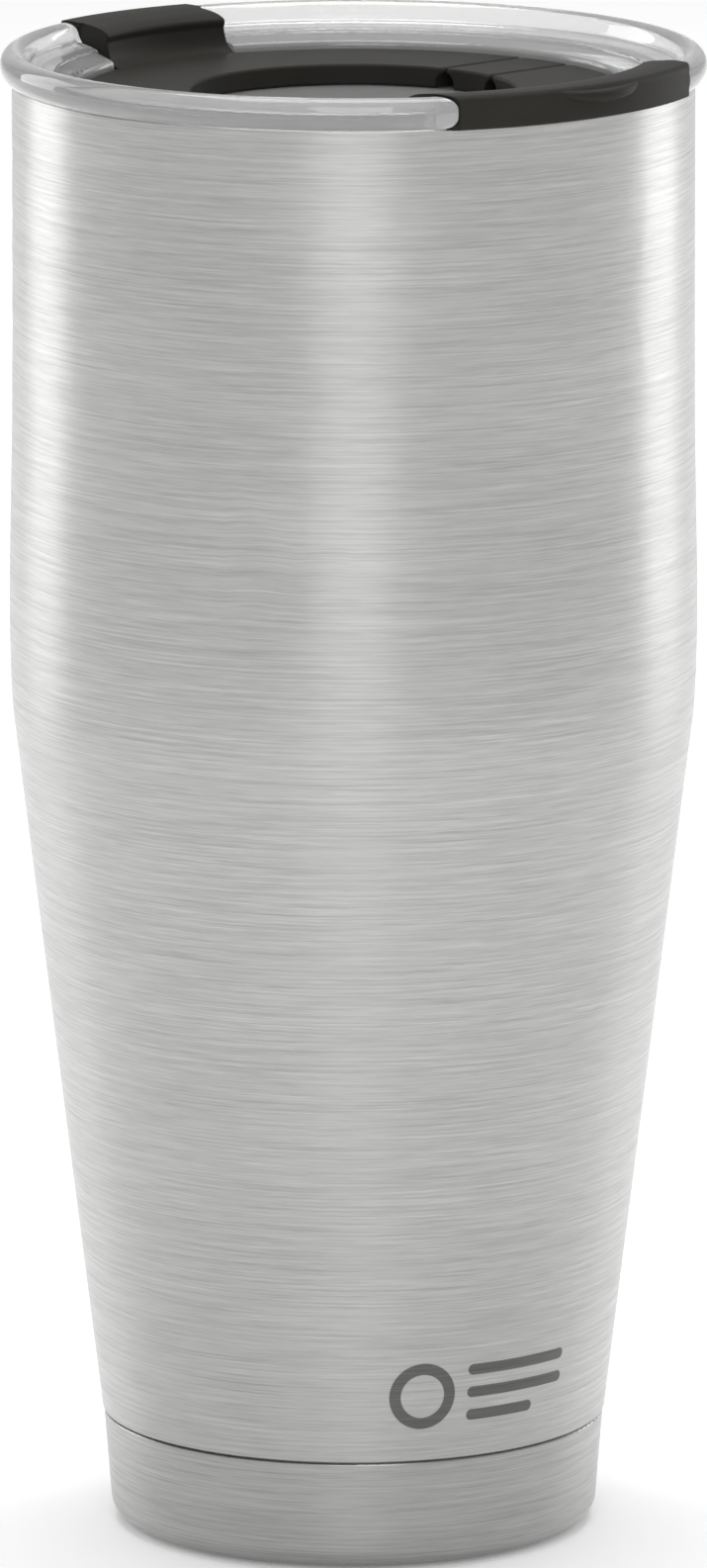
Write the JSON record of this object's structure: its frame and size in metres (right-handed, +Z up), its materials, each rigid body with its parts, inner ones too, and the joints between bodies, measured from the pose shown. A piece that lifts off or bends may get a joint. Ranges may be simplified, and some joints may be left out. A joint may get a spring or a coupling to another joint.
{
  "type": "insulated tumbler",
  "caption": "Double-wall insulated steel tumbler, tapered to fit a cup holder, with a clear press-in lid whose two dark flaps open a drinking side and a straw side.",
  "frame": {"origin": "centre of the face the tumbler stands on", "axes": "+Z up along the tumbler's axis; front is -Y, the wide flap opens to the front right, 43.9 degrees from -Y"},
  "size_m": [0.089, 0.089, 0.1899],
  "materials": {
    "brushed_steel": "fine brushing round the body, satin",
    "liner_steel": "satin, lightly polished",
    "copper_foil": "thin reflective foil",
    "seal_glass": "fused glass bead",
    "getter_alloy": "sintered, dull",
    "base_rubber": "matte silicone rubber",
    "clear_plastic": "clear glossy moulded plastic",
    "clear_silicone": "translucent silicone rubber",
    "dark_plastic": "fine satin moulded plastic",
    "dark_silicone": "matte silicone rubber"
  },
  "bodies": {
    "cup": {"outer_shell": "brushed_steel", "base_cup": "brushed_steel", "inner_liner": "liner_steel", "liner_bottom": "liner_steel", "vacuum_base": "liner_steel", "reflective_foil": "copper_foil", "vacuum_seal": "seal_glass", "getter_clip": "liner_steel", "getter_pellet": "getter_alloy", "base_pad": "base_rubber"},
    "lid": {"lid_body": "clear_plastic", "lid_gasket": "clear_silicone", "hinge_pad_left": "dark_plastic", "hinge_pad_right": "dark_plastic", "front_living_hinge": "dark_plastic", "rear_living_hinge": "dark_plastic"},
    "front_flap": {"front_flap": "dark_plastic", "front_flap_seal": "dark_silicone"},
    "rear_flap": {"rear_flap": "dark_plastic", "rear_flap_seal": "dark_silicone"}
  },
  "joints": [
    {"name": "lid_lift", "type": "slide", "parent": "cup", "child": "lid", "axis": [0, 0, 1], "range_m": [0, 0.03]},
    {"name": "front_flap_hinge", "type": "hinge", "parent": "lid", "child": "front_flap", "pos_m": [0.00291, -0.00303, 0.18425], "axis": [-0.7206, -0.6934, 0], "range_deg": [0, 80]},
    {"name": "rear_flap_hinge", "type": "hinge", "parent": "lid", "child": "rear_flap", "pos_m": [-0.00291, 0.00303, 0.18425], "axis": [0.7206, 0.6934, 0], "range_deg": [0, 80]}
  ]
}
